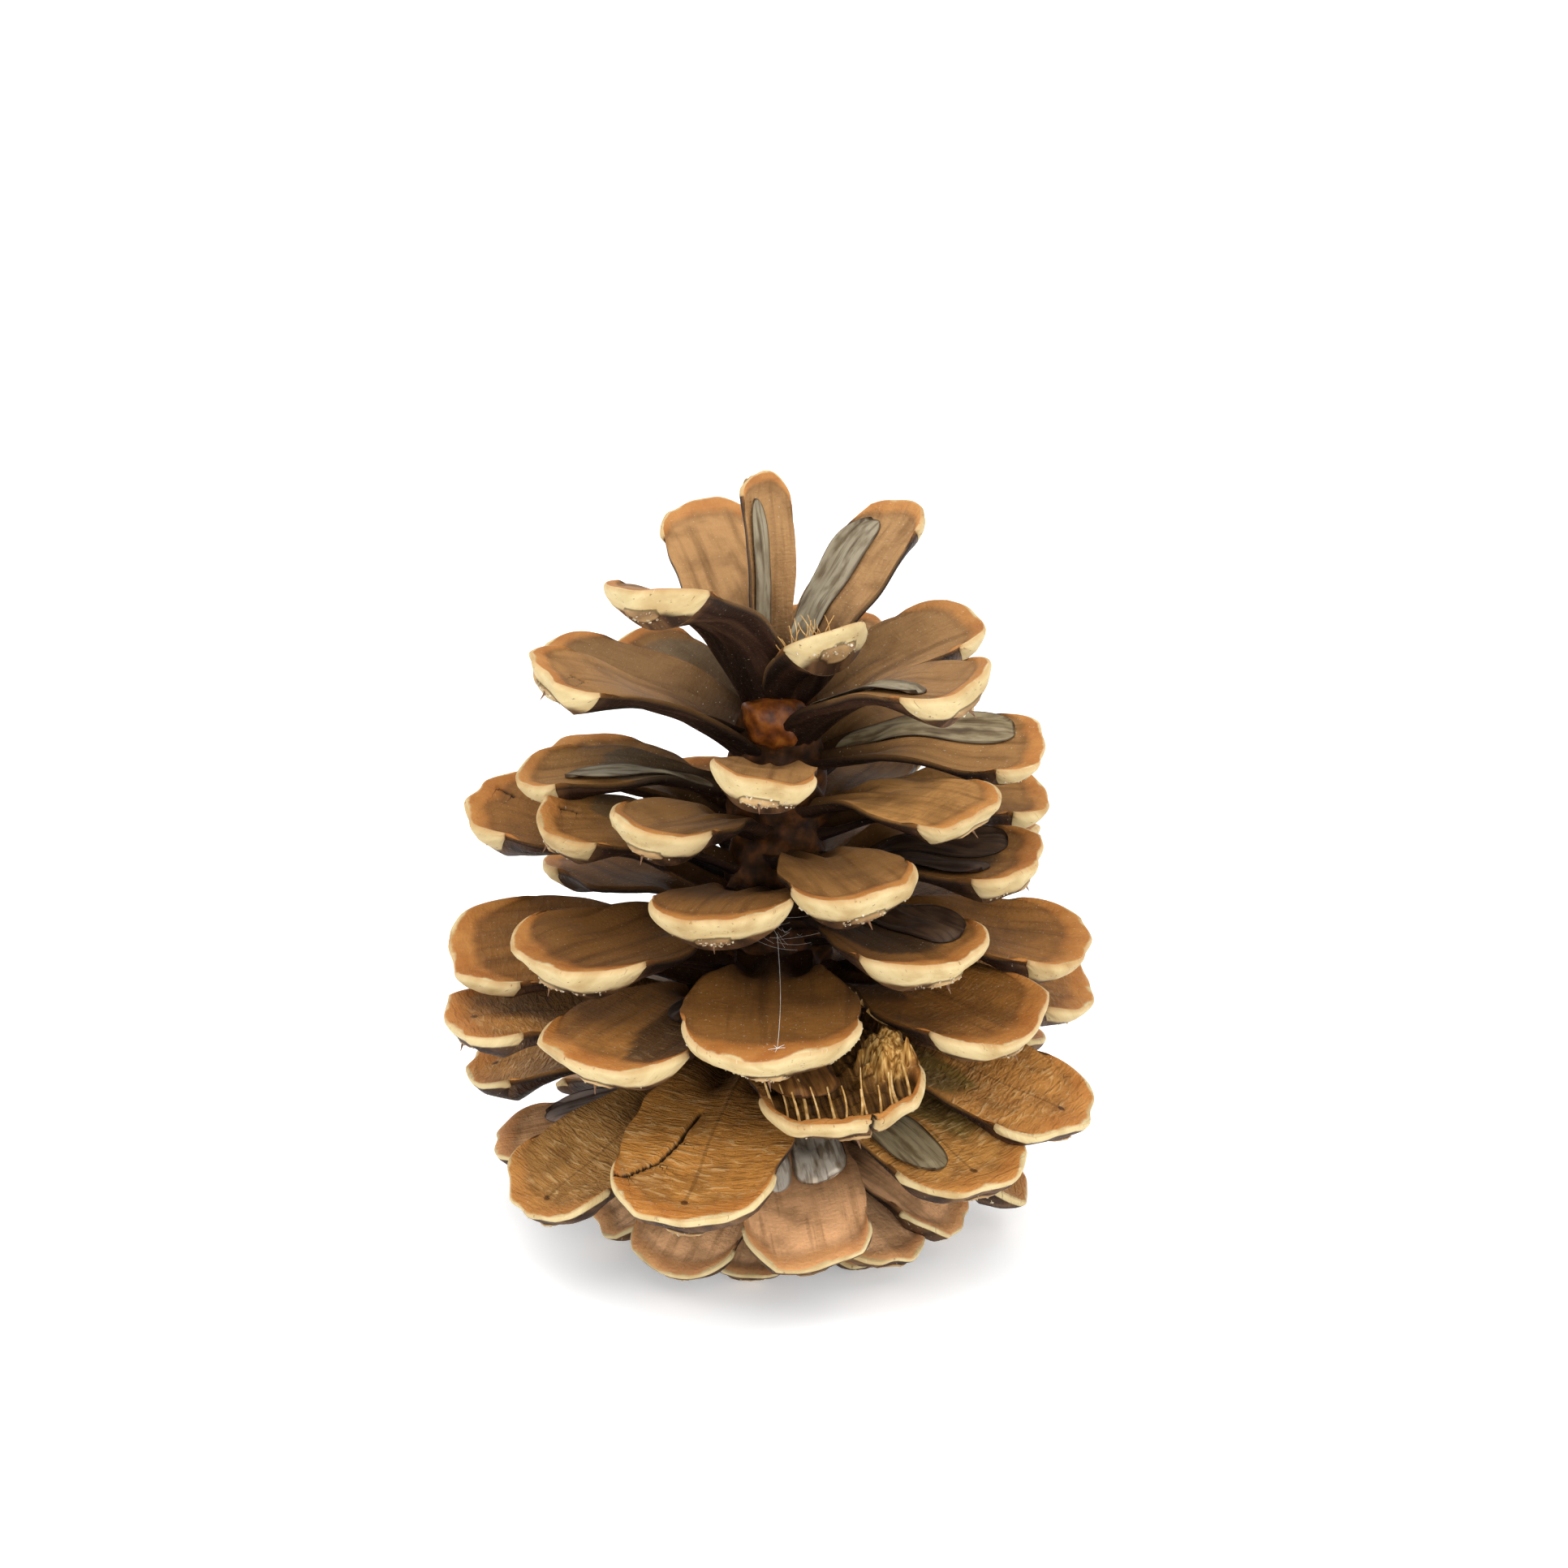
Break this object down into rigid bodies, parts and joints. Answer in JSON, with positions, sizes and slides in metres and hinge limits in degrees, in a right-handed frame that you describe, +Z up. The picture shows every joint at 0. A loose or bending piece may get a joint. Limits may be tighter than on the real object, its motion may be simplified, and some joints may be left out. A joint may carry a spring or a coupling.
{
  "type": "pine cone",
  "caption": "Dry, open pine cone standing on its stem end, with spread woody scales, pale thickened tips and loose winged seeds between them.",
  "frame": {"origin": "on the ground under the middle of the cone, at the bottom of its box", "axes": "+Z up along the cone's axis from stem end to tip, -Y towards the side that the picture shows"},
  "size_m": [0.0536, 0.0544, 0.0635],
  "materials": {
    "cone_wood": "dry matt pine scale wood, golden brown inside, purple brown outside, cream at the thick tips",
    "seed_wing": "thin papery seed wing, grey brown, finely veined"
  },
  "bodies": {
    "root": {"cone": "cone_wood", "seed_wing_tip": "seed_wing", "seed_wing_crown": "seed_wing", "seed_wing_crown_front": "seed_wing", "seed_wing_right_high": "seed_wing", "seed_wing_back_left": "seed_wing", "seed_wing_left_high": "seed_wing", "seed_wing_right_far": "seed_wing", "seed_wing_right_near": "seed_wing", "seed_wing_front_right": "seed_wing", "seed_wing_front_left": "seed_wing", "seed_wing_low_right": "seed_wing", "seed_wing_low_left": "seed_wing", "seed_wing_foot_left": "seed_wing", "seed_wing_foot_right": "seed_wing", "seed_wing_foot_corner": "seed_wing"}
  },
  "joints": []
}
